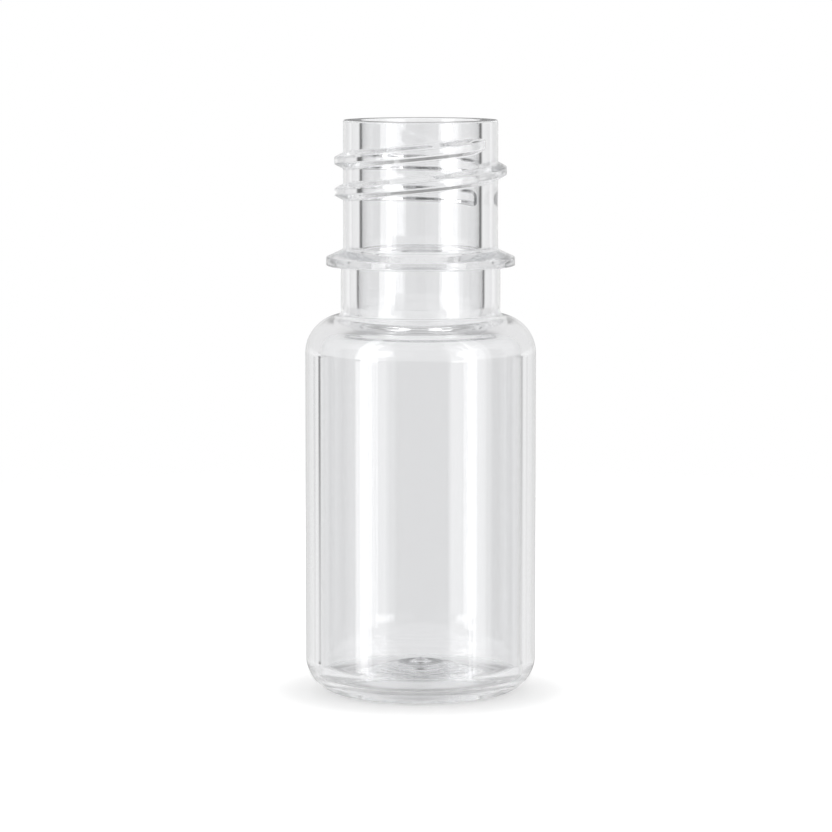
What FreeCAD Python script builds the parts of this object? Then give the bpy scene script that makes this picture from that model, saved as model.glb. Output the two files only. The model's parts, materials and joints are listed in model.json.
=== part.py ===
import FreeCAD, Part
import math
import os

# A small clear PET bottle, stretch-blown in one piece from an injected preform.
# Millimetres, +Z up. The origin is the centre of the ring that the bottle stands on.
# Sections are drawn as (radius, height) and turned about Z. -Y is the front.

# Body
overall_height = 58.5
body_diameter = 23.5
body_wall = 1.5
shoulder_height = 38.75
shoulder_radius = 3.9
throat_radius = 2.5
heel_radius = 3.6
cavity_heel_radius = 1.4

# Base
stand_width = 0.5
push_up_height = 2.0
floor_height = 3.1
well_radius = 3.0
well_depth = 0.15
disc_radius = 1.85
disc_depth = 0.1
gate_radius = 0.75
gate_length = 0.35
step_draft = 0.1
pip_radius = 1.3
pip_height = 0.4

# Neck finish, 18 mm with 8 threads to the inch
neck_diameter = 15.75
bore_diameter = 12.0
finish_height = 13.1
rim_round = 0.25

# Support ring and the plain neck under it
ring_diameter = 19.2
ring_slope_height = 0.8
ring_land = 0.85
ring_break = 0.12
ring_root = 0.3
lower_neck_diameter = 16.25
lower_bore_diameter = 12.7

# Thread: one right-hand ridge, started at the front right under the rim
thread_diameter = 17.5
thread_lead = 3.175
thread_turns = 1.867
thread_start_depth = 2.315
thread_start_angle = -36.0
thread_root_width = 1.65
thread_crest_width = 0.75
thread_crest_break = 0.1
thread_run_in = 18.0
# The ridge stands this much higher at +X, and lower at -X, than a true helix.
thread_cant = 0.3

# Steps of the thread's loft, and how deep its foot is set into the neck
loft_step = 15.0
foot_depth = 0.35

# Rounds are drawn as straight bands between points of the true curve, which keeps the facets few.
outer_band_count = 6
cavity_band_count = 4
base_band_count = 3
edge_band_count = 2

AXIS = FreeCAD.Vector(0, 0, 1)


def at(radius, height):
    return FreeCAD.Vector(radius, 0, height)


class Section:
    """A closed section, drawn as one stroke in the plane of radius and height."""

    def __init__(self, radius, height):
        self.start = at(radius, height)
        self.here = self.start
        self.edges = []

    def line(self, radius, height):
        """Straight to the next point."""
        end = at(radius, height)
        self.edges.append(Part.makeLine(self.here, end))
        self.here = end

    def arc(self, centre, radius, height, bands):
        """The short way round a centre to the next point, in bands that meet on the arc."""
        centre = at(*centre)
        first = self.here - centre
        last = at(radius, height) - centre
        start = math.atan2(first.z, first.x)
        turn = math.remainder(math.atan2(last.z, last.x) - start, 2 * math.pi)
        for i in range(1, bands + 1):
            angle = start + turn * i / bands
            self.line(
                centre.x + first.Length * math.cos(angle),
                centre.z + first.Length * math.sin(angle),
            )

    def crown(self, radius, height, bands):
        """A soft rise or fall to the next point, half a cosine wave that is level at both ends."""
        first = self.here
        for i in range(1, bands + 1):
            along = i / bands
            rise = (1 - math.cos(math.pi * along)) / 2
            self.line(first.x + (radius - first.x) * along, first.z + (height - first.z) * rise)

    def turned(self):
        """The solid that the closed section sweeps about the axis."""
        self.line(self.start.x, self.start.z)
        face = Part.Face(Part.Wire(self.edges))
        return face.revolve(FreeCAD.Vector(), AXIS, 360)


# Radii and heights that follow from the sizes above
body_radius = body_diameter / 2
cavity_radius = body_radius - body_wall
neck_radius = neck_diameter / 2
bore_radius = bore_diameter / 2
lower_neck_radius = lower_neck_diameter / 2
lower_bore_radius = lower_bore_diameter / 2
ring_radius = ring_diameter / 2
thread_radius = thread_diameter / 2

ring_root_height = overall_height - finish_height
ring_corner_height = ring_root_height - ring_slope_height
ring_under_height = ring_corner_height - ring_land

shoulder_centre = (body_radius - shoulder_radius, shoulder_height - shoulder_radius)
heel_centre = (body_radius - heel_radius, heel_radius)
cavity_heel_centre = (cavity_radius - cavity_heel_radius, body_wall + cavity_heel_radius)
stand_inner_radius = heel_centre[0] - stand_width
well_height = push_up_height + well_depth
disc_height = well_height + disc_depth
gate_height = disc_height - gate_length


def draw_underside(section):
    """The gate mark in its stepped well, the push-up and the narrow ring that the bottle stands on."""
    section.line(gate_radius - step_draft, gate_height)
    section.line(gate_radius, disc_height)
    section.line(disc_radius - step_draft, disc_height)
    section.line(disc_radius, well_height)
    section.line(well_radius - step_draft, well_height)
    section.line(well_radius, push_up_height)
    section.crown(stand_inner_radius, 0, base_band_count)
    section.line(heel_centre[0], 0)


def draw_outside(section):
    """Heel, body wall, and the shoulder that rounds in until it meets the plain neck."""
    section.arc(heel_centre, body_radius, heel_centre[1], outer_band_count)
    section.line(body_radius, shoulder_centre[1])
    meeting_radius = max(lower_neck_radius, shoulder_centre[0])
    inward = meeting_radius - shoulder_centre[0]
    meeting_height = shoulder_centre[1] + math.sqrt(shoulder_radius ** 2 - inward ** 2)
    section.arc(shoulder_centre, meeting_radius, meeting_height, outer_band_count)
    if meeting_radius > lower_neck_radius:
        section.line(lower_neck_radius, meeting_height)
    section.line(lower_neck_radius, ring_under_height)


def draw_support_ring(section):
    """Flat underside, upright land with broken edges, and a cone that runs up into the neck."""
    run = ring_radius - neck_radius
    section.line(ring_radius - ring_break, ring_under_height)
    section.line(ring_radius, ring_under_height + ring_break)
    section.line(ring_radius, ring_corner_height)
    section.line(neck_radius + ring_root, ring_root_height - ring_slope_height * ring_root / run)
    section.line(neck_radius, ring_root_height + ring_root)


def draw_rim(section):
    """The neck up to the rim, the level sealing face and its two rounded edges."""
    edge_height = overall_height - rim_round
    section.line(neck_radius, edge_height)
    outer_centre = (neck_radius - rim_round, edge_height)
    section.arc(outer_centre, outer_centre[0], overall_height, edge_band_count)
    inner_centre = (bore_radius + rim_round, edge_height)
    section.line(inner_centre[0], overall_height)
    section.arc(inner_centre, bore_radius, edge_height, edge_band_count)


def draw_throat(section):
    """The plain bore and the round that opens it into the cavity, up to the shoulder's inner arc.

    Where the two rounds are close they touch on the line between their centres. Where they are
    further apart, a level roof joins them.
    """
    inner_round = shoulder_radius - body_wall
    reach = throat_radius + inner_round
    overlap = max(0, lower_bore_radius + throat_radius - shoulder_centre[0])
    drop = math.sqrt(reach ** 2 - overlap ** 2)
    centre = (lower_bore_radius + throat_radius, shoulder_centre[1] + drop)
    section.line(lower_bore_radius, centre[1])
    touching_radius = centre[0] - throat_radius * overlap / reach
    section.arc(centre, touching_radius, centre[1] - throat_radius * drop / reach, cavity_band_count)
    if overlap == 0:
        section.line(shoulder_centre[0], shoulder_centre[1] + inner_round)


def draw_inside(section):
    """The bore, wider under the ring, and the cavity with its shoulder, wall, heel and domed floor."""
    section.line(bore_radius, ring_root_height)
    section.line(lower_bore_radius, ring_under_height)
    draw_throat(section)
    section.arc(shoulder_centre, cavity_radius, shoulder_centre[1], cavity_band_count)
    section.line(cavity_radius, cavity_heel_centre[1])
    section.arc(cavity_heel_centre, cavity_heel_centre[0], body_wall, base_band_count)
    section.crown(pip_radius, floor_height, base_band_count)
    section.crown(0, floor_height + pip_height, edge_band_count)


def moulded_wall():
    """The whole bottle but its thread: one turned wall from the gate mark to the rim."""
    section = Section(0, gate_height)
    draw_underside(section)
    draw_outside(section)
    draw_support_ring(section)
    draw_rim(section)
    draw_inside(section)
    return section.turned()


def ridge_height(angle):
    """Height of the ridge's middle at an angle from +X, rising anticlockwise as a right-hand thread does."""
    top_of_thread = overall_height - thread_start_depth
    fallen = thread_lead * (thread_start_angle - angle) / 360
    start_lift = math.cos(math.radians(thread_start_angle))
    lift = math.cos(math.radians(angle)) - start_lift
    return top_of_thread - fallen + thread_cant * lift


def ridge_profile(angle, fullness):
    """The ridge's section at one angle: a trapezoid with broken crest corners and its foot in the wall."""
    crest = neck_radius + (thread_radius - neck_radius) * fullness - foot_depth / 2 * (1 - fullness)
    flank = (thread_root_width - thread_crest_width) / 2 / (thread_radius - neck_radius)
    half_crest = thread_crest_width / 2
    foot = neck_radius - foot_depth
    half_foot = half_crest + flank * (crest - foot)
    flat = half_crest - thread_crest_break
    flank_top = crest - thread_crest_break
    half_top = half_crest + flank * thread_crest_break
    middle = ridge_height(angle)

    section = Section(foot, middle - half_foot)
    section.line(flank_top, middle - half_top)
    section.line(crest, middle - flat)
    section.line(crest, middle + flat)
    section.line(flank_top, middle + half_top)
    section.line(foot, middle + half_foot)
    section.line(foot, middle - half_foot)
    wire = Part.Wire(section.edges)
    wire.rotate(FreeCAD.Vector(), AXIS, angle)
    return wire


def fullness_at(angle, first, last):
    """How far the ridge stands out, from 0 at its two ends to 1 once the run-in is past."""
    travel = min(abs(angle - first), abs(last - angle), thread_run_in) / thread_run_in
    return math.sin(math.pi / 2 * travel)


def thread_ridge():
    """The thread: sections lofted down the helix, closer together where the ridge fades in and out."""
    first = thread_start_angle
    last = first - 360 * thread_turns
    end_steps = 4
    main_length = abs(last - first) - 2 * thread_run_in
    main_steps = max(2, math.ceil(main_length / loft_step))
    run_in = [first - thread_run_in * i / end_steps for i in range(end_steps)]
    main = [first - thread_run_in - main_length * i / main_steps for i in range(main_steps)]
    run_out = [last + thread_run_in * (1 - i / end_steps) for i in range(end_steps + 1)]
    wires = [ridge_profile(a, fullness_at(a, first, last)) for a in run_in + main + run_out]
    return Part.makeLoft(wires, True, False)


def bottle():
    """The finished bottle, one solid."""
    return moulded_wall().fuse(thread_ridge()).removeSplitter()


os.makedirs("parts", exist_ok=True)
shape = bottle()
shape.exportStep("parts/bottle.step")
print("solids", len(shape.Solids), "valid", shape.isValid(), "volume_mm3", round(shape.Volume, 1))
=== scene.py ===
import json
import math

import bpy
import numpy as np
from bpy.props import FloatProperty, FloatVectorProperty, IntProperty, PointerProperty
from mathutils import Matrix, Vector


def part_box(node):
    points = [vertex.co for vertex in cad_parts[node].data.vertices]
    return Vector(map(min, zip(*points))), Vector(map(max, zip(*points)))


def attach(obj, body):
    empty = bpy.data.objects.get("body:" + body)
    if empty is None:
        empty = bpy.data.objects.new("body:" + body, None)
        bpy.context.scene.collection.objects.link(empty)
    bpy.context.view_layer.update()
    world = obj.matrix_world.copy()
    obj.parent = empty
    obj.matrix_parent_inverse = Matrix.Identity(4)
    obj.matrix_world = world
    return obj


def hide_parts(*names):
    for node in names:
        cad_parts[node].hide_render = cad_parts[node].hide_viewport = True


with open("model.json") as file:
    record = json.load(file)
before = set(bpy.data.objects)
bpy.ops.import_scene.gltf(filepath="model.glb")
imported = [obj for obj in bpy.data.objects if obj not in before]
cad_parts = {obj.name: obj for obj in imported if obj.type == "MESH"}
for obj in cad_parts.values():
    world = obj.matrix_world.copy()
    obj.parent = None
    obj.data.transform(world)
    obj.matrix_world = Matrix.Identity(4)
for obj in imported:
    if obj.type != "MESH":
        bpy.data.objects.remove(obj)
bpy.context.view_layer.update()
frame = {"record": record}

# A small clear PET bottle, stretch-blown in one piece, with a screw neck and a support ring.
# Metres, +Z up. The origin is the centre of the ring that the bottle stands on. -Y is the front.

bl_info = {
    "name": "Clear bottle",
    "version": (1, 0, 0),
    "blender": (4, 5, 0),
    "location": "View3D > Sidebar > Bottle",
    "description": "Moulds a small clear PET bottle with a screw neck and sets it in a white studio",
    "category": "Add Mesh",
}

MM = 0.001
NODE_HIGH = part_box("bottle")[1]
MOUNTS = {mount["name"]: mount for mount in frame["record"]["mounts"]}

# Rises above the horizon, in degrees: what the upright walls mirror, what the neck alone mirrors, what is
# overhead, and the dark band low behind the bottle.
UPRIGHT_RISE = (-11.5, -0.8)
NECK_RISE = (-4.75, -1.2)
OVERHEAD_RISE = (38, 62)
LOW_RISE = (-1, 43)

# Radii of the faint rings in the cavity's floor
RIPPLES = (2.3 * MM, 3.75 * MM, 4.55 * MM, 5.4 * MM)

# Where a painted shadow darkens the floor's glow under the foot of the bottle, as distances from the axis
PAINTED_HEEL_SHADOW = (6.5 * MM, 10.5 * MM)


def mount_size(name, key):
    """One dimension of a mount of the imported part, in metres."""
    return MOUNTS[name]["dims"][key] * MM


def length(name, description, default):
    """A length that the user can change, in metres."""
    return FloatProperty(name=name, description=description, default=default, unit="LENGTH", precision=5)


def turn(name, description, degrees):
    """An angle that the user can change, given here in degrees."""
    return FloatProperty(name=name, description=description, default=math.radians(degrees), unit="ROTATION")


def number(name, description, default):
    """A plain number that the user can change."""
    return FloatProperty(name=name, description=description, default=default)


def colour(name, description, default):
    """A colour that the user can change."""
    return FloatVectorProperty(name=name, description=description, default=default, subtype="COLOR")


class BottleBody(bpy.types.PropertyGroup):
    """Sizes of the blown body, its wall and its base."""

    overall_height: length("Overall height", "From the standing ring to the rim", NODE_HIGH.z)
    body_diameter: length("Body diameter", "Across the straight wall", 2 * NODE_HIGH.x)
    body_wall: length("Wall", "Thickness of the body, shoulder and heel", 1.5 * MM)
    shoulder_height: length("Shoulder height", "Where the shoulder meets the plain neck", 38.75 * MM)
    shoulder_radius: length("Shoulder round", "Radius of the shoulder", 3.9 * MM)
    heel_radius: length("Heel round", "Radius of the heel", 3.6 * MM)
    throat_radius: length("Throat round", "Radius where the bore opens into the cavity", 2.5 * MM)
    cavity_heel_radius: length("Inner heel round", "Radius of the cavity's heel", 1.4 * MM)
    stand_width: length("Standing ring", "Width of the ring that meets the floor", 0.5 * MM)
    push_up_height: length("Push-up", "Rise of the underside inside the standing ring", 2.0 * MM)
    floor_height: length("Floor", "Height of the cavity's floor round the pip", 3.1 * MM)
    pip_radius: length("Pip radius", "Radius of the pip at its foot", 1.3 * MM)
    pip_height: length("Pip height", "Rise of the pip above the floor", 0.4 * MM)
    ripple_height: length("Ripples", "Height of the faint rings in the floor", 0.03 * MM)
    ripple_width: length("Ripple width", "Half width of each ring", 0.15 * MM)


class BottleBase(bpy.types.PropertyGroup):
    """Sizes of the stepped well under the base, with the gate mark at its middle."""

    well_radius: length("Well radius", "Outer step of the well", 3.0 * MM)
    well_depth: length("Well depth", "Height of the outer step", 0.15 * MM)
    disc_radius: length("Disc radius", "Inner step of the well", 1.85 * MM)
    disc_depth: length("Disc depth", "Height of the inner step", 0.1 * MM)
    gate_radius: length("Gate radius", "Radius of the gate mark", 0.75 * MM)
    gate_length: length("Gate length", "How far the gate mark stands down", 0.35 * MM)
    step_draft: length("Draft", "How far each step leans in", 0.1 * MM)
    step_round: length("Step round", "Radius of the steps' edges", 0.04 * MM)


class BottleNeck(bpy.types.PropertyGroup):
    """Sizes of the neck finish: bore, rim, thread, support ring and the plain neck under it."""

    neck_diameter: length("Neck diameter", "Root diameter of the thread", 15.75 * MM)
    bore_radius: length("Bore radius", "Radius of the mouth", mount_size("mouth_bore", "r_mm"))
    finish_height: length("Finish height", "From the rim to the root of the support ring", 13.1 * MM)
    rim_round: length("Rim round", "Radius of the rim's two edges", 0.15 * MM)
    ring_radius: length("Ring radius", "Radius of the support ring", mount_size("support_ring", "r_mm"))
    ring_slope_height: length("Ring slope", "Height of the ring's cone", 0.8 * MM)
    ring_land: length("Ring land", "Height of the ring's upright edge", 0.85 * MM)
    ring_break: length("Ring edges", "Radius of the ring's two edges", 0.12 * MM)
    ring_root: length("Ring root", "Radius where the cone runs into the neck", 0.3 * MM)
    lower_neck_radius: length("Plain neck", "Radius under the ring", mount_size("plain_neck", "r_mm"))
    lower_bore_diameter: length("Lower bore", "Diameter inside the plain neck", 12.7 * MM)
    foot_round: length("Neck foot", "Radius where the plain neck meets the shoulder", 0.25 * MM)


class BottleThread(bpy.types.PropertyGroup):
    """Sizes of the one right-hand thread ridge."""

    thread_radius: length("Crest radius", "Outer radius of the thread", mount_size("neck_thread", "r_mm"))
    lead: length("Lead", "Rise in one turn", 3.175 * MM)
    turns: number("Turns", "Length of the ridge in turns", 1.867)
    start_depth: length("Start depth", "From the rim to the start of the ridge", 2.315 * MM)
    start_angle: turn("Start angle", "Where the ridge starts, from +X", -36)
    root_width: length("Root width", "Width of the ridge at the neck", 1.65 * MM)
    crest_width: length("Crest width", "Width of the ridge's top", 0.75 * MM)
    edge_round: length("Ridge rounds", "How far its corners are softened", 0.06 * MM)
    run_in: turn("Run-in", "Angle over which either end fades", 18)
    cant: length("Cant", "How much higher the ridge stands at +X than a true helix", 0.3 * MM)


class BottleFinish(bpy.types.PropertyGroup):
    """Colour and surface of the clear PET."""

    tint: colour("Tint", "Colour that the surface passes", (0.924, 0.926, 0.932))
    depth_colour: colour("Depth colour", "Colour that a thick wall takes", (0.62, 0.64, 0.66))
    depth_density: number("Depth", "Absorption in a metre of plastic", 8.0)
    ior: number("Refraction", "Refractive index of PET", 1.575)


class BottleStudio(bpy.types.PropertyGroup):
    """The camera, the plain floor, and how finely the bottle is drawn and lit."""

    camera_distance: length("Camera distance", "From the bottle's axis to the camera", 0.42)
    camera_height: length("Camera height", "Above the floor", 0.0732)
    camera_pitch: turn("Camera pitch", "How far the camera looks down", 6.1)
    camera_side: length("Camera shift", "How far the camera stands to the left of the axis", 0.00047)
    focal_length: number("Focal length", "In millimetres, on a 36 mm sensor", 179.0)
    floor_radius: length("Floor radius", "Where the floor has faded into the background", 0.2)
    bounces: IntProperty(
        name="Bounces", description="Longest light path inside the plastic", default=64, min=12, max=128
    )
    columns: IntProperty(name="Columns", description="Facets round the bottle", default=176, min=24, max=256)


def arc(centre, radius, start, end, count):
    """Points on a circle in the (radius, height) plane: centre plus radius times (cos, sin) of evenly
    spaced angles in degrees, both ends included."""
    angles = np.radians(np.linspace(start, end, count))
    return np.column_stack((centre[0] + radius * np.cos(angles), centre[1] + radius * np.sin(angles)))


def straight(first, last, count):
    """Evenly spaced points from first to last, both ends included."""
    along = np.linspace(0, 1, count)[:, None]
    return np.asarray(first) * (1 - along) + np.asarray(last) * along


def crown(first, last, count):
    """Half a cosine wave from first to last: the height follows (1 - cos(pi t)) / 2, level at both ends."""
    along = np.linspace(0, 1, count)
    rise = (1 - np.cos(math.pi * along)) / 2
    radius = first[0] + (last[0] - first[0]) * along
    height = first[1] + (last[1] - first[1]) * rise
    return np.column_stack((radius, height))


def rounded(corners, steps=4):
    """A polyline whose corners (radius, height, round) are replaced by arcs tangent to both sides.
    Each arc is cut at steps equal angles between the two directions' normals."""
    points = [np.asarray([corners[0][:2]])]
    for before, corner, after in zip(corners, corners[1:], corners[2:]):
        here = np.asarray(corner[:2])
        to_before = np.asarray(before[:2]) - here
        to_after = np.asarray(after[:2]) - here
        to_before /= np.linalg.norm(to_before)
        to_after /= np.linalg.norm(to_after)
        half = math.acos(np.clip(to_before @ to_after, -1, 1)) / 2
        bisector = (to_before + to_after) / np.linalg.norm(to_before + to_after)
        centre = here + bisector * corner[2] / math.sin(half)
        first = here + to_before * corner[2] / math.tan(half) - centre
        last = here + to_after * corner[2] / math.tan(half) - centre
        turn = math.pi - 2 * half
        share = np.linspace(0, 1, steps + 1)[:, None]
        blend = (np.sin((1 - share) * turn) * first + np.sin(share * turn) * last) / math.sin(turn)
        points.append(centre + blend)
    points.append(np.asarray([corners[-1][:2]]))
    return np.concatenate(points)


def joined(*stretches):
    """The stretches of a profile end to end, without the points that two of them share."""
    path = np.concatenate(stretches)
    apart = np.linalg.norm(np.diff(path, axis=0), axis=1) > 1e-7
    return path[np.concatenate(([True], apart))]


def braced(path, near, longest):
    """The path with a point added near each end of every stretch that is longer than longest, so that the
    shading of a straight wall isn't bent by the rounds beside it."""
    points = [path[:1]]
    for first, last in zip(path, path[1:]):
        span = np.linalg.norm(last - first)
        if span > longest:
            step = (last - first) * near / span
            points.append([first + step, last - step])
        points.append([last])
    return np.concatenate(points)


def underside(body, base):
    """From the gate mark at the axis, down the steps of the well and the push-up to the standing ring."""
    well_height = body.push_up_height + base.well_depth
    disc_height = well_height + base.disc_depth
    gate_height = disc_height - base.gate_length
    stand_radius = body.body_diameter / 2 - body.heel_radius
    steps = rounded([
        (0, gate_height, 0),
        (base.gate_radius - base.step_draft, gate_height, base.step_round),
        (base.gate_radius, disc_height, base.step_round),
        (base.disc_radius - base.step_draft, disc_height, base.step_round),
        (base.disc_radius, well_height, base.step_round),
        (base.well_radius - base.step_draft, well_height, base.step_round),
        (base.well_radius, body.push_up_height, base.step_round),
        (base.well_radius + 3 * base.step_round, body.push_up_height, 0),
    ])
    push_up = crown(steps[-1], (stand_radius - body.stand_width, 0), 22)
    return joined(steps, push_up, [(stand_radius, 0)])


def outer_body(body, neck):
    """Heel arc, straight wall, shoulder arc, and the small round into the plain neck."""
    radius = body.body_diameter / 2
    heel = arc((radius - body.heel_radius, body.heel_radius), body.heel_radius, -90, 0, 28)
    centre = (radius - body.shoulder_radius, body.shoulder_height - body.shoulder_radius)
    wall = straight(heel[-1], (radius, centre[1]), 2)
    foot_radius = neck.lower_neck_radius + neck.foot_round
    reach = body.shoulder_radius + neck.foot_round
    foot_angle = math.degrees(math.acos((foot_radius - centre[0]) / reach))
    foot_centre = (foot_radius, centre[1] + reach * math.sin(math.radians(foot_angle)))
    shoulder = arc(centre, body.shoulder_radius, 0, foot_angle, 30)
    foot = arc(foot_centre, neck.foot_round, foot_angle - 180, -180, 6)
    return joined(heel, wall, shoulder, foot)


def support_ring(body, neck):
    """Plain neck, flat underside, upright land with small rounds, and the cone into the neck."""
    root = body.overall_height - neck.finish_height
    corner = root - neck.ring_slope_height
    under = corner - neck.ring_land
    outer = neck.ring_radius
    inner = neck.lower_neck_radius
    return rounded([
        (inner, body.shoulder_height + neck.foot_round, 0),
        (inner, under, neck.ring_break),
        (outer, under, neck.ring_break),
        (outer, corner, neck.ring_break),
        (neck.neck_diameter / 2, root, neck.ring_root),
        (neck.neck_diameter / 2, root + 2 * neck.ring_root, 0),
    ], steps=5)


def rim(body, neck):
    """The level sealing face between its two rounded edges."""
    edge = body.overall_height - neck.rim_round
    outer = arc((neck.neck_diameter / 2 - neck.rim_round, edge), neck.rim_round, 0, 90, 7)
    inner = arc((neck.bore_radius + neck.rim_round, edge), neck.rim_round, 90, 180, 7)
    return joined(outer, inner)


def inside(body, neck):
    """From the bore down: wider bore, throat, shoulder, wall, heel, and the crowned floor with its pip. The
    throat's arc touches the shoulder's inner arc where the line between their centres crosses it."""
    root = body.overall_height - neck.finish_height
    under = root - neck.ring_slope_height - neck.ring_land
    lower_bore = neck.lower_bore_diameter / 2
    radius = body.body_diameter / 2
    centre = (radius - body.shoulder_radius, body.shoulder_height - body.shoulder_radius)
    inner_round = body.shoulder_radius - body.body_wall
    throat_reach = lower_bore + body.throat_radius
    lean = math.asin((throat_reach - centre[0]) / (body.throat_radius + inner_round))
    throat_height = centre[1] + (body.throat_radius + inner_round) * math.cos(lean)
    lean = math.degrees(lean)
    bore = rounded([
        (neck.bore_radius, body.overall_height - neck.rim_round, 0),
        (neck.bore_radius, root, neck.foot_round),
        (lower_bore, under, neck.foot_round),
        (lower_bore, throat_height, 0),
    ])
    throat = arc((throat_reach, throat_height), body.throat_radius, 180, 270 - lean, 20)
    shoulder = arc(centre, inner_round, 90 - lean, 0, 18)
    cavity_radius = radius - body.body_wall
    heel_centre = (cavity_radius - body.cavity_heel_radius, body.body_wall + body.cavity_heel_radius)
    wall = straight(shoulder[-1], (cavity_radius, heel_centre[1]), 2)
    heel = arc(heel_centre, body.cavity_heel_radius, 0, -90, 18)
    floor = crown(heel[-1], (body.pip_radius, body.floor_height), 110)
    for ring in RIPPLES:
        floor[:, 1] += body.ripple_height * np.exp(-((floor[:, 0] - ring) / body.ripple_width) ** 2)
    pip = crown(floor[-1], (0, body.floor_height + body.pip_height), 10)
    return joined(bore, throat, shoulder, wall, heel, floor, pip)


def smooth_least(a, b, soft):
    """The lesser of a and b, with the corner between them rounded over the width soft."""
    share = np.clip(0.5 + 0.5 * (b - a) / soft, 0, 1)
    return b * (1 - share) + a * share - soft * share * (1 - share)


def ridge(thread, body, neck, angle, height):
    """How far the thread stands out of the neck at an angle and height. Its middle falls by the lead in
    each turn, plus the cant times the cosine of the angle. Across it the height is a trapezoid: the crest's
    height, or less where the flanks' slope times the distance from the crest's edge is less, and never
    below the neck. At both ends the crest's height grows as a sine over the run-in."""
    depth = thread.thread_radius - neck.neck_diameter / 2
    flank = (thread.root_width - thread.crest_width) / 2 / depth
    length_turned = thread.turns * 2 * math.pi
    start_height = body.overall_height - thread.start_depth - thread.cant * math.cos(thread.start_angle)
    first_turn = np.mod(thread.start_angle - angle, 2 * math.pi)
    total = np.zeros_like(height)
    for turn in range(math.ceil(thread.turns) + 1):
        turned = first_turn + turn * 2 * math.pi
        travel = np.clip(np.minimum(turned, length_turned - turned) / thread.run_in, 0, 1)
        crest = depth * np.sin(math.pi / 2 * travel)
        middle = start_height - thread.lead * turned / (2 * math.pi) + thread.cant * np.cos(angle)
        off_middle = np.sqrt((height - middle) ** 2 + (0.2 * thread.edge_round) ** 2)
        flank_height = (thread.crest_width / 2 - off_middle) / flank + crest
        raised = smooth_least(crest, flank_height, thread.edge_round)
        raised = -smooth_least(-raised, np.zeros_like(raised), thread.edge_round)
        total = np.maximum(total, np.where(travel > 0, raised, 0))
    return total


def turned_mesh(name, radius, height, angle):
    """A closed mesh from grids of radius and height, one row for each profile point and one column for
    each angle: x, y = radius times cos, sin of the angle. The first and last rows lie on the axis and
    become one point each."""
    x = radius * np.cos(angle)
    y = radius * np.sin(angle)
    ring_points = np.stack((x, y, height), axis=-1)[1:-1].reshape(-1, 3)
    bottom = (0, 0, float(height[0, 0]))
    top = (0, 0, float(height[-1, 0]))
    points = np.concatenate(([bottom], ring_points, [top]))

    rows, columns = radius.shape[0] - 2, radius.shape[1]
    index = 1 + np.arange(rows * columns).reshape(rows, columns)
    beside = np.roll(index, -1, axis=1)
    quads = np.stack((index[:-1], beside[:-1], beside[1:], index[1:]), axis=-1).reshape(-1, 4)
    first_fan = np.stack((np.zeros(columns, int), beside[0], index[0]), axis=-1)
    last_fan = np.stack((np.full(columns, len(points) - 1), index[-1], beside[-1]), axis=-1)
    faces = first_fan.tolist() + quads.tolist() + last_fan.tolist()

    mesh = bpy.data.meshes.new(name)
    mesh.from_pydata(points.tolist(), [], faces)
    mesh.validate()
    mesh.shade_smooth()
    return mesh


def added(name, data):
    """A new object for the data, linked to the scene."""
    made = bpy.data.objects.new(name, data)
    bpy.context.scene.collection.objects.link(made)
    return made


def bottle_mesh(settings):
    """One closed surface: the underside, the outside, the rim and the inside, turned about the axis,
    with the thread's height added to the radius of the neck."""
    body, base, neck, thread = settings.body, settings.base, settings.neck, settings.thread
    foot = support_ring(body, neck)
    top_edge = rim(body, neck)
    threaded_neck = straight(foot[-1], top_edge[0], 175)
    below = joined(underside(body, base), outer_body(body, neck), foot)
    below = braced(below, 0.03 * MM, 0.25 * MM)
    outer = joined(below, threaded_neck)
    profile = joined(outer, braced(joined(top_edge, inside(body, neck)), 0.03 * MM, 0.25 * MM))

    angle = np.linspace(0, 2 * math.pi, settings.studio.columns, endpoint=False)[None, :]
    radius = np.repeat(profile[:, :1], angle.shape[1], axis=1)
    height = np.repeat(profile[:, 1:], angle.shape[1], axis=1)
    on_neck = slice(len(outer) - len(threaded_neck) + 1, len(outer))
    radius[on_neck] += ridge(thread, body, neck, angle, height[on_neck])
    return turned_mesh("bottle_shell", radius, height, angle)


class Nodes:
    """Adds nodes to a tree and links them, so that a material or the world reads as a few lines."""

    def __init__(self, tree):
        self.tree = tree
        tree.nodes.clear()

    def add(self, kind, **settings):
        """A node with some of its own settings changed."""
        node = self.tree.nodes.new(kind)
        for key, value in settings.items():
            setattr(node, key, value)
        return node

    def link(self, source, target):
        """Joins an output to an input."""
        self.tree.links.new(source, target)

    def math(self, operation, *inputs):
        """The output of a Math node on sockets or numbers."""
        node = self.add("ShaderNodeMath", operation=operation)
        for socket, value in zip(node.inputs, inputs):
            if isinstance(value, bpy.types.NodeSocket):
                self.link(value, socket)
            else:
                socket.default_value = value
        return node.outputs[0]

    def ramp(self, value, low, high, start=0.0, end=1.0):
        """A smooth step of a value from start at low to end at high."""
        node = self.add("ShaderNodeMapRange", interpolation_type="SMOOTHSTEP")
        self.link(value, node.inputs["Value"])
        for name, limit in (("From Min", low), ("From Max", high), ("To Min", start), ("To Max", end)):
            node.inputs[name].default_value = limit
        return node.outputs["Result"]

    def band(self, value, low, high, soft):
        """1 between low and high, 0 outside, with both edges softened."""
        rise = self.ramp(value, low - soft / 2, low + soft / 2)
        fall = self.ramp(value, high - soft / 2, high + soft / 2, 1.0, 0.0)
        return self.math("MULTIPLY", rise, fall)

    def product(self, first, *others):
        """Sockets or numbers multiplied together."""
        for other in others:
            first = self.math("MULTIPLY", first, other)
        return first

    def scaled(self, value, factor, offset):
        """A value times a factor, plus an offset."""
        return self.math("MULTIPLY_ADD", value, factor, offset)


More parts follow.
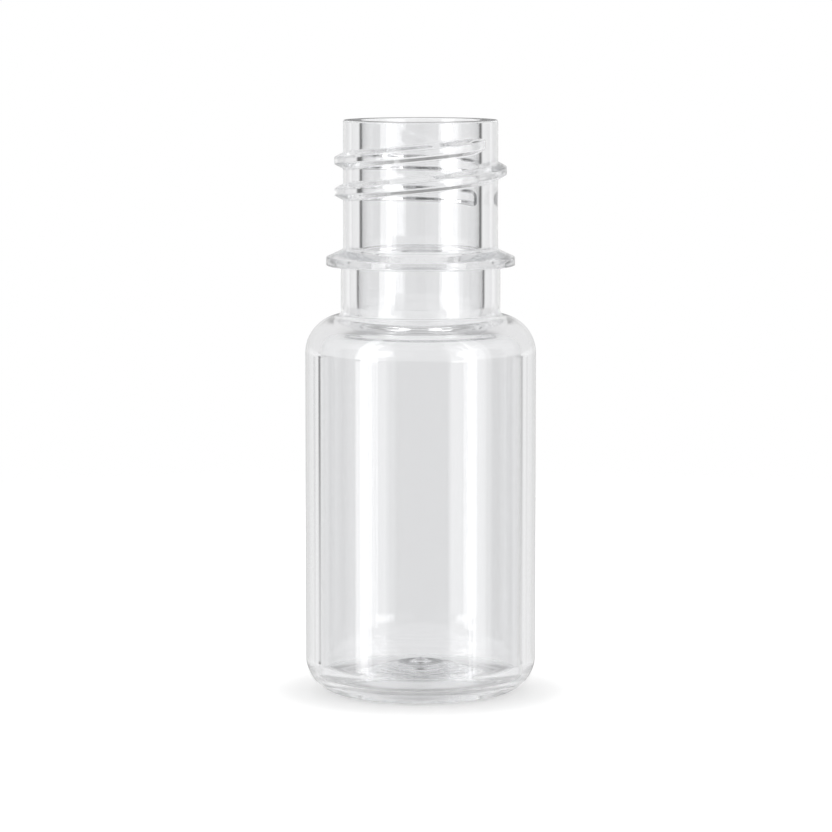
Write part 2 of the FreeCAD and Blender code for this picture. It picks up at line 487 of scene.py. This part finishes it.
def clear_pet(finish):
    """Clear PET: a refracting surface with a faint, uneven gloss and a little colour in its depth. The tint
    is what each pass through the surface leaves of the light, and makes the walls' grey."""
    material = bpy.data.materials.new("clear_pet")
    material.use_nodes = True
    nodes = Nodes(material.node_tree)
    surface = nodes.add("ShaderNodeBsdfPrincipled")
    surface.inputs["Base Color"].default_value = (*finish.tint, 1)
    surface.inputs["IOR"].default_value = finish.ior
    surface.inputs["Transmission Weight"].default_value = 1.0

    where = nodes.add("ShaderNodeTexCoord").outputs["Object"]
    haze = nodes.add("ShaderNodeTexNoise")
    haze.inputs["Scale"].default_value = 160.0
    haze.inputs["Detail"].default_value = 3.0
    nodes.link(where, haze.inputs["Vector"])
    nodes.link(nodes.ramp(haze.outputs["Fac"], 0.3, 0.75, 0.004, 0.03), surface.inputs["Roughness"])

    depth = nodes.add("ShaderNodeVolumeAbsorption")
    depth.inputs["Color"].default_value = (*finish.depth_colour, 1)
    depth.inputs["Density"].default_value = finish.depth_density
    result = nodes.add("ShaderNodeOutputMaterial")
    nodes.link(surface.outputs[0], result.inputs["Surface"])
    nodes.link(depth.outputs[0], result.inputs["Volume"])
    return material


def white_floor(floor_radius):
    """A pale matt floor that keeps a soft shadow, and whose glow by distance from the axis is painted light
    and shade. The camera sees it paler the further out it lies, with a painted shadow near the bottle, until
    it fades into the background at its edge. Through the plastic and mirrored in it, the glow is bright under
    the middle of the base, darker under the heel and dark beside it, both painted shade, and lighter again
    behind the bottle, painted light. There it fades out sooner, so that the walls mirror the surroundings."""
    material = bpy.data.materials.new("white_floor")
    material.use_nodes = True
    nodes = Nodes(material.node_tree)
    where = nodes.add("ShaderNodeTexCoord").outputs["Object"]
    split = nodes.add("ShaderNodeSeparateXYZ")
    nodes.link(where, split.inputs[0])
    length_out = nodes.add("ShaderNodeVectorMath", operation="LENGTH")
    nodes.link(where, length_out.inputs[0])
    distance = length_out.outputs["Value"]
    path = nodes.add("ShaderNodeLightPath")
    camera = path.outputs["Is Camera Ray"]
    others = nodes.math("SUBTRACT", 1.0, camera)

    # Painted shadow: the glow that the plastic shows is darker in a ring under the heel.
    heel = nodes.band(distance, *PAINTED_HEEL_SHADOW, 1.5 * MM)
    # Painted light and shade: a glow that is bright under the middle of the base and dim from 12 mm out.
    near = nodes.ramp(distance, 10.5 * MM, 12 * MM, 0.68, 0.15)
    through = nodes.product(near, nodes.scaled(heel, -0.62, 1.0))
    # Painted light: the floor behind the bottle glows brighter in the plastic.
    through = nodes.math("ADD", through, nodes.ramp(split.outputs["Y"], 8 * MM, 11 * MM, 0.0, 0.32))
    # Painted shadow: the floor that the camera sees glows less near the bottle.
    camera_glow_painted_shadow = nodes.product(camera, nodes.ramp(distance, 12 * MM, 17 * MM, 0.48, 0.62))
    glow_strength_painted_light_and_shade = nodes.math("ADD", camera_glow_painted_shadow, nodes.product(through, others))
    seen = nodes.math("MAXIMUM", camera, path.outputs["Is Glossy Ray"])
    seen = nodes.math("MAXIMUM", seen, path.outputs["Is Transmission Ray"])

    matt = nodes.add("ShaderNodeBsdfDiffuse")
    matt.inputs["Color"].default_value = (0.8, 0.8, 0.8, 1)
    # The glow is the floor's white plus the painted light and shade above.
    glow_painted_light_and_shade = nodes.add("ShaderNodeEmission")
    glow_painted_light_and_shade.inputs["Color"].default_value = (1, 1, 1, 1)
    nodes.link(nodes.product(seen, glow_strength_painted_light_and_shade), glow_painted_light_and_shade.inputs["Strength"])
    both = nodes.add("ShaderNodeAddShader")
    nodes.link(matt.outputs[0], both.inputs[0])
    nodes.link(glow_painted_light_and_shade.outputs[0], both.inputs[1])

    plain = nodes.ramp(distance, floor_radius * 0.45, floor_radius * 0.98, 1.0, 0.0)
    mirrored = nodes.ramp(distance, 14 * MM, 22 * MM, 1.0, 0.0)
    cover = nodes.math("ADD", nodes.product(plain, camera), nodes.product(mirrored, others))
    mixed = nodes.add("ShaderNodeMixShader")
    nodes.link(cover, mixed.inputs[0])
    nodes.link(nodes.add("ShaderNodeBsdfTransparent").outputs[0], mixed.inputs[1])
    nodes.link(both.outputs[0], mixed.inputs[2])
    result = nodes.add("ShaderNodeOutputMaterial")
    nodes.link(mixed.outputs[0], result.inputs["Surface"])
    return material


class Surroundings(Nodes):
    """The world's nodes. A direction is an angle round the bottle, 0 straight behind it and 180 straight in
    front, and a rise above the horizon, both in degrees."""

    def __init__(self, tree):
        super().__init__(tree)
        split = self.add("ShaderNodeSeparateXYZ")
        self.link(self.add("ShaderNodeTexCoord").outputs["Generated"], split.inputs[0])
        across, away, up = split.outputs
        self.angle = self.math("DEGREES", self.math("ARCTAN2", self.math("ABSOLUTE", across), away))
        self.rise = self.math("DEGREES", self.math("ARCSINE", up))
        self.left = self.math("LESS_THAN", across, 0.0)
        self.right = self.math("SUBTRACT", 1.0, self.left)
        self.upright = self.band(self.rise, *UPRIGHT_RISE, 2.0)
        self.neck = self.band(self.rise, *NECK_RISE, 0.5)
        self.body = self.math("SUBTRACT", 1.0, self.neck)
        self.overhead = self.band(self.rise, *OVERHEAD_RISE, 12)

    def seen_through(self):
        """White, with two soft grey flags on each side and a grey ring overhead."""
        turned = self.scaled(self.product(self.right, self.body), 14.0, self.angle)
        flags = self.math("ADD", self.band(turned, 46, 79, 14), self.band(self.angle, 101, 126, 7))
        flags = self.product(flags, self.scaled(self.upright, 0.6, 0.33))
        white = self.math("SUBTRACT", 1.0, flags)
        return self.product(white, self.scaled(self.overhead, -0.7, 1.0))

    def wall_behind(self):
        """A white wall that ends at an edge on each side, with a thin dark line in it, and is a little
        darker straight behind the bottle."""
        edge = self.scaled(self.neck, -10.0, 65.0)
        wall = self.ramp(self.math("SUBTRACT", self.angle, edge), -4, 4, 1.0, 0.14)
        line = self.product(
            self.band(self.angle, 44.5, 49.5, 2),
            self.body,
            self.scaled(self.left, 0.5, 0.5),
            self.ramp(self.rise, -9.5, -5.5, 0.3, 0.85),
        )
        middle = self.ramp(self.angle, 10, 24, 0.76, 1.0)
        return self.product(wall, self.scaled(self.neck, 0.08, 0.9), middle, self.math("SUBTRACT", 1.0, line))

    def soft_boxes(self):
        """A tall light on each side in front, between an outer and an inner edge, with a fainter step of
        light inside it and a soft one outside."""
        inner_left = self.product(self.scaled(self.neck, 10.5, 126.0), self.left)
        inner_right = self.product(self.scaled(self.neck, 22.0, 126.5), self.right)
        to_inner = self.math("SUBTRACT", self.angle, self.math("ADD", inner_left, inner_right))
        outer = self.scaled(self.right, 11.0, 112.0)
        outer = self.math("ADD", outer, self.product(self.neck, self.left, 6.0))
        from_outer = self.math("SUBTRACT", self.angle, outer)
        box = self.product(self.ramp(from_outer, -2, 2), self.ramp(to_inner, -1, 1, 1.0, 0.0))

        left_fade = self.product(self.band(self.angle, 98, 113, 12), self.left, 0.6)
        right_fade = self.product(self.band(self.angle, 105, 123, 5), self.right, 1.3)
        inward = self.math("SUBTRACT", to_inner, self.product(self.right, 4.0))
        step = self.product(self.ramp(to_inner, 0, 2), self.ramp(inward, 18, 21, 1.0, 0.0))
        step = self.product(step, self.scaled(self.neck, -0.6, 0.9))
        soft = self.math("ADD", self.math("ADD", left_fade, right_fade), step)
        return self.product(self.scaled(box, 3.5, soft), self.band(self.rise, -15, 55, 6))

    def dim_room(self):
        """A light grey room above and below what the upright walls mirror, darker in a narrow band low
        behind the bottle and a little darker overhead."""
        low = self.product(self.band(self.rise, *LOW_RISE, 6), self.ramp(self.angle, 2, 5, 1.0, 0.0))
        grey = self.product(self.scaled(low, -0.62, 0.85), self.scaled(self.overhead, -0.4, 1.0))
        return self.product(grey, self.math("SUBTRACT", 1.0, self.upright))

    def mirrored(self):
        """The wall as the upright sides mirror it, the room around them, and the lights."""
        room = self.scaled(self.wall_behind(), self.upright, self.dim_room())
        return self.math("ADD", room, self.soft_boxes())


def studio_world():
    """White for the camera. What is seen straight through the plastic is white with soft flags, and what is
    mirrored in it once or more is a dim room with a white wall behind and a soft box on each side."""
    world = bpy.data.worlds.new("white_studio")
    bpy.context.scene.world = world
    world.use_nodes = True
    nodes = Surroundings(world.node_tree)
    path = nodes.add("ShaderNodeLightPath")
    bounced = nodes.math("GREATER_THAN", path.outputs["Glossy Depth"], 0.5)
    through = nodes.seen_through()
    light = nodes.scaled(bounced, nodes.math("SUBTRACT", nodes.mirrored(), through), through)
    camera = path.outputs["Is Camera Ray"]
    light = nodes.product(light, nodes.math("SUBTRACT", 1.0, camera))
    light = nodes.math("ADD", light, camera)
    back = nodes.add("ShaderNodeBackground")
    back.inputs["Color"].default_value = (1, 1, 1, 1)
    nodes.link(light, back.inputs["Strength"])
    result = nodes.add("ShaderNodeOutputWorld")
    nodes.link(back.outputs[0], result.inputs["Surface"])


def floor_mesh(radius):
    """A flat disc at height 0: its edge is at x, y = radius times cos, sin of evenly spaced angles."""
    angle = np.linspace(0, 2 * math.pi, 64, endpoint=False)
    points = np.column_stack((radius * np.cos(angle), radius * np.sin(angle), np.zeros(len(angle))))
    mesh = bpy.data.meshes.new("floor")
    mesh.from_pydata(points.tolist(), [], [list(range(len(points)))])
    return mesh


class BOTTLE_OT_shell(bpy.types.Operator):
    """Mould the bottle: body, base and threaded neck in one closed wall"""

    bl_idname = "bottle.shell"
    bl_label = "Mould the bottle"
    bl_options = {"REGISTER", "UNDO"}

    def execute(self, context):
        settings = context.scene.bottle
        shell = added("bottle_shell", bottle_mesh(settings))
        shell.data.materials.append(clear_pet(settings.finish))
        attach(shell, "root")
        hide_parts("bottle")
        return {"FINISHED"}


class BOTTLE_OT_studio(bpy.types.Operator):
    """Set up the white floor, the surroundings and the camera"""

    bl_idname = "bottle.studio"
    bl_label = "Set up the studio"
    bl_options = {"REGISTER", "UNDO"}

    def execute(self, context):
        studio = context.scene.bottle.studio
        floor = added("floor", floor_mesh(studio.floor_radius))
        floor.data.materials.append(white_floor(studio.floor_radius))
        studio_world()

        lens = bpy.data.cameras.new("camera")
        lens.sensor_width = 36.0
        lens.lens = studio.focal_length
        lens.clip_start = 0.01
        lens.clip_end = 10.0
        camera = added("camera", lens)
        camera.location = (-studio.camera_side, -studio.camera_distance, studio.camera_height)
        camera.rotation_euler = (math.pi / 2 - studio.camera_pitch, 0, 0)
        context.scene.camera = camera
        context.scene.view_settings.view_transform = "Standard"
        # Light that is caught in the wall leaves it only after many reflections.
        light_paths = context.scene.cycles
        light_paths.max_bounces = light_paths.glossy_bounces = studio.bounces
        light_paths.transmission_bounces = studio.bounces
        return {"FINISHED"}


class BottleSettings(bpy.types.PropertyGroup):
    """All the sizes and colours."""

    body: PointerProperty(type=BottleBody)
    base: PointerProperty(type=BottleBase)
    neck: PointerProperty(type=BottleNeck)
    thread: PointerProperty(type=BottleThread)
    finish: PointerProperty(type=BottleFinish)
    studio: PointerProperty(type=BottleStudio)


class BOTTLE_PT_panel(bpy.types.Panel):
    """Sizes, colours and buttons for the bottle."""

    bl_idname = "BOTTLE_PT_panel"
    bl_label = "Clear bottle"
    bl_space_type = "VIEW_3D"
    bl_region_type = "UI"
    bl_category = "Bottle"

    def draw(self, context):
        settings = context.scene.bottle
        for part in ("body", "base", "neck", "thread", "finish", "studio"):
            box = self.layout.box()
            box.label(text=part.capitalize())
            group = getattr(settings, part)
            for key in group.__annotations__:
                box.prop(group, key)
        self.layout.operator("bottle.shell")
        self.layout.operator("bottle.studio")


CLASSES = (
    BottleBody,
    BottleBase,
    BottleNeck,
    BottleThread,
    BottleFinish,
    BottleStudio,
    BottleSettings,
    BOTTLE_OT_shell,
    BOTTLE_OT_studio,
    BOTTLE_PT_panel,
)


def register():
    """Adds the classes and the scene's settings."""
    for kind in CLASSES:
        bpy.utils.register_class(kind)
    bpy.types.Scene.bottle = PointerProperty(type=BottleSettings)


def unregister():
    """Takes them out again."""
    del bpy.types.Scene.bottle
    for kind in reversed(CLASSES):
        bpy.utils.unregister_class(kind)


def main():
    """Registers the add-on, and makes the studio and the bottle."""
    register()
    bpy.ops.bottle.studio()
    bpy.ops.bottle.shell()


if __name__ == "__main__":
    main()
